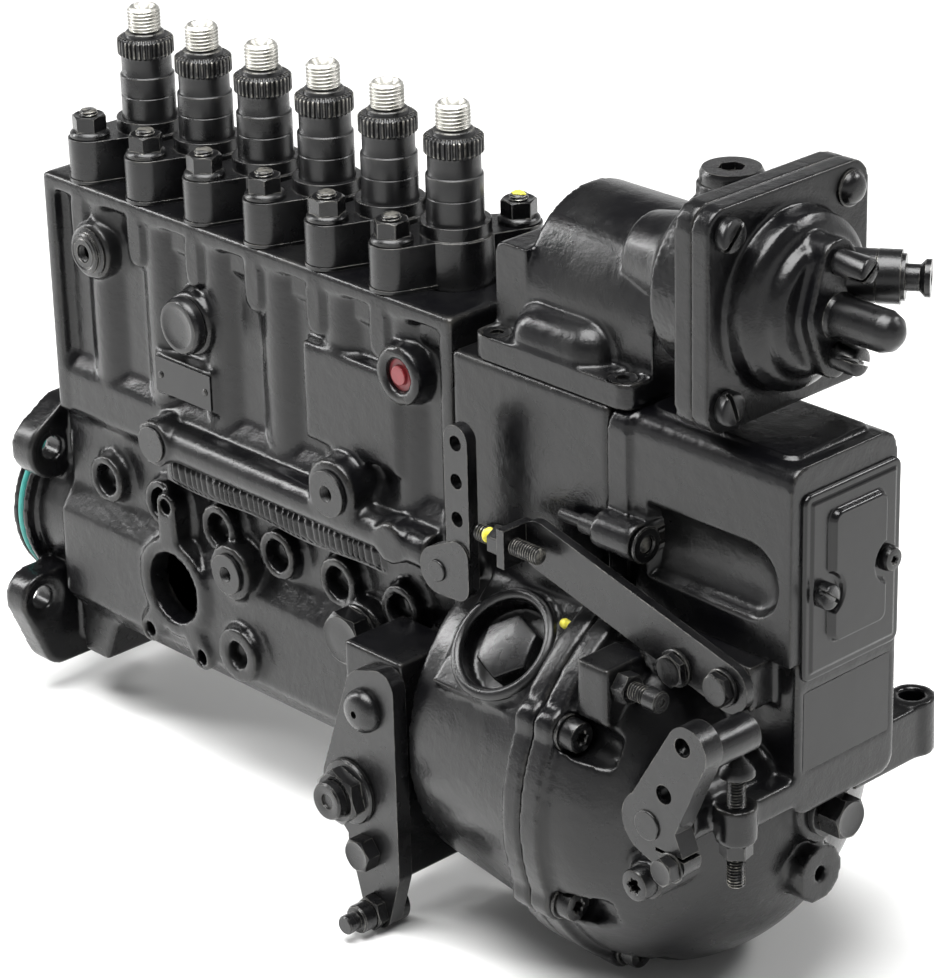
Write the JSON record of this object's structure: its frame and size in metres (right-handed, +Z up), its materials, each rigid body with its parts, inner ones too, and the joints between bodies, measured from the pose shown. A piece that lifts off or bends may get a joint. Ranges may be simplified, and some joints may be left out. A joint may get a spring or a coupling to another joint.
{
  "type": "diesel injection pump",
  "caption": "In-line diesel injection pump with flange mount, high pressure outlets on top, centrifugal governor with levers and a boost compensator.",
  "frame": {"origin": "camshaft axis at the mating face of the drive flange", "axes": "+X along the camshaft towards the governor, +Z up towards the outlets, -Y the side with the levers"},
  "size_m": [0.5145, 0.179, 0.335],
  "materials": {
    "black_casting": "satin",
    "black_steel": "satin",
    "bare_steel": "satin",
    "blank_plate": "gloss",
    "teal_rubber": "matte",
    "black_rubber": "matte",
    "red_plastic": "satin"
  },
  "bodies": {
    "pump_body": {"pump_housing": "black_casting", "drive_end_cover": "black_casting", "governor_housing": "black_casting", "governor_cover": "black_casting", "spring_box": "black_casting", "compensator_housing": "black_casting", "compensator_cover": "black_casting", "access_plate": "black_steel", "housing_plugs": "black_steel", "timing_plug": "black_steel", "stop_screws": "black_steel", "stop_bracket": "black_steel", "support_bracket": "black_steel", "spacer_block": "black_steel", "outer_fasteners": "black_steel", "compensator_fittings": "black_steel", "bushing_nuts": "black_steel", "bushing_studs": "black_steel", "bushing_shims": "black_steel", "flange_bushing_1": "black_steel", "flange_bushing_2": "black_steel", "flange_bushing_3": "black_steel", "flange_bushing_4": "black_steel", "flange_bushing_5": "black_steel", "flange_bushing_6": "black_steel", "delivery_valve_holder_1": "black_steel", "delivery_valve_holder_2": "black_steel", "delivery_valve_holder_3": "black_steel", "delivery_valve_holder_4": "black_steel", "delivery_valve_holder_5": "black_steel", "delivery_valve_holder_6": "black_steel", "bearing_cups": "bare_steel", "barrels": "bare_steel", "delivery_valves": "bare_steel", "plunger_springs": "bare_steel", "roller_tappets": "bare_steel", "pilot_oring": "teal_rubber", "shaft_seal": "black_rubber", "port_cap": "red_plastic", "blank_plates": "blank_plate"},
    "camshaft_group": {"camshaft": "bare_steel", "camshaft_key": "bare_steel", "bearing_cones": "bare_steel", "flyweight_carrier": "bare_steel"},
    "upper_flyweight": {"flyweight_upper": "bare_steel"},
    "lower_flyweight": {"flyweight_lower": "bare_steel"},
    "governor_bolt": {"sliding_bolt": "bare_steel"},
    "rack": {"control_rack": "bare_steel"},
    "throttle": {"throttle_lever": "black_steel", "throttle_shaft": "black_steel", "lever_clamp_bolt": "black_steel"},
    "shutoff": {"shutoff_lever": "black_steel", "shutoff_shaft": "black_steel"},
    "boost_rod": {"boost_push_rod": "bare_steel"},
    "plunger_set_1": {"plunger_1": "bare_steel"},
    "plunger_set_2": {"plunger_2": "bare_steel"},
    "plunger_set_3": {"plunger_3": "bare_steel"},
    "plunger_set_4": {"plunger_4": "bare_steel"},
    "plunger_set_5": {"plunger_5": "bare_steel"},
    "plunger_set_6": {"plunger_6": "bare_steel"}
  },
  "joints": [
    {"name": "camshaft_spin", "type": "hinge", "parent": "pump_body", "child": "camshaft_group", "pos_m": [0, 0, 0], "axis": [1, 0, 0], "continuous": true},
    {"name": "flyweight_upper_slide", "type": "slide", "parent": "camshaft_group", "child": "upper_flyweight", "axis": [0, 0, 1], "range_m": [0, 0.012], "stiffness_N_per_m": 3000, "springref_m": -0.002},
    {"name": "flyweight_lower_slide", "type": "slide", "parent": "camshaft_group", "child": "lower_flyweight", "axis": [0, 0, -1], "range_m": [0, 0.012]},
    {"name": "governor_bolt_slide", "type": "slide", "parent": "camshaft_group", "child": "governor_bolt", "axis": [1, 0, 0], "range_m": [0, 0.01]},
    {"name": "rack_slide", "type": "slide", "parent": "pump_body", "child": "rack", "axis": [1, 0, 0], "range_m": [-0.0105, 0.0105]},
    {"name": "throttle_turn", "type": "hinge", "parent": "pump_body", "child": "throttle", "pos_m": [0.43, -0.06, 0.028], "axis": [0, 1, 0], "range_deg": [-44, 0], "stiffness_Nm_per_rad": 0.4, "springref_deg": 20.05},
    {"name": "shutoff_turn", "type": "hinge", "parent": "pump_body", "child": "shutoff", "pos_m": [0.286, -0.045, 0.0725], "axis": [0, 1, 0], "range_deg": [-20, 12], "stiffness_Nm_per_rad": 0.3},
    {"name": "boost_rod_slide", "type": "slide", "parent": "pump_body", "child": "boost_rod", "axis": [1, 0, 0], "range_m": [-0.008, 0], "stiffness_N_per_m": 3000, "springref_m": 0.003},
    {"name": "plunger_1_turn", "type": "hinge", "parent": "pump_body", "child": "plunger_set_1", "pos_m": [0.056, 0, 0.072], "axis": [0, 0, 1], "range_deg": [-24.5, 24.5]},
    {"name": "plunger_2_turn", "type": "hinge", "parent": "pump_body", "child": "plunger_set_2", "pos_m": [0.094, 0, 0.072], "axis": [0, 0, 1], "range_deg": [-24.5, 24.5]},
    {"name": "plunger_3_turn", "type": "hinge", "parent": "pump_body", "child": "plunger_set_3", "pos_m": [0.132, 0, 0.072], "axis": [0, 0, 1], "range_deg": [-24.5, 24.5]},
    {"name": "plunger_4_turn", "type": "hinge", "parent": "pump_body", "child": "plunger_set_4", "pos_m": [0.17, 0, 0.072], "axis": [0, 0, 1], "range_deg": [-24.5, 24.5]},
    {"name": "plunger_5_turn", "type": "hinge", "parent": "pump_body", "child": "plunger_set_5", "pos_m": [0.208, 0, 0.072], "axis": [0, 0, 1], "range_deg": [-24.5, 24.5]},
    {"name": "plunger_6_turn", "type": "hinge", "parent": "pump_body", "child": "plunger_set_6", "pos_m": [0.246, 0, 0.072], "axis": [0, 0, 1], "range_deg": [-24.5, 24.5]}
  ],
  "couplings": [
    {"joint": "flyweight_lower_slide", "follows": "flyweight_upper_slide", "ratio": 1},
    {"joint": "governor_bolt_slide", "follows": "flyweight_upper_slide", "ratio": 0.8333},
    {"joint": "plunger_1_turn", "follows": "rack_slide", "rad_per_m": 40},
    {"joint": "plunger_2_turn", "follows": "rack_slide", "rad_per_m": 40},
    {"joint": "plunger_3_turn", "follows": "rack_slide", "rad_per_m": 40},
    {"joint": "plunger_4_turn", "follows": "rack_slide", "rad_per_m": 40},
    {"joint": "plunger_5_turn", "follows": "rack_slide", "rad_per_m": 40},
    {"joint": "plunger_6_turn", "follows": "rack_slide", "rad_per_m": 40}
  ]
}
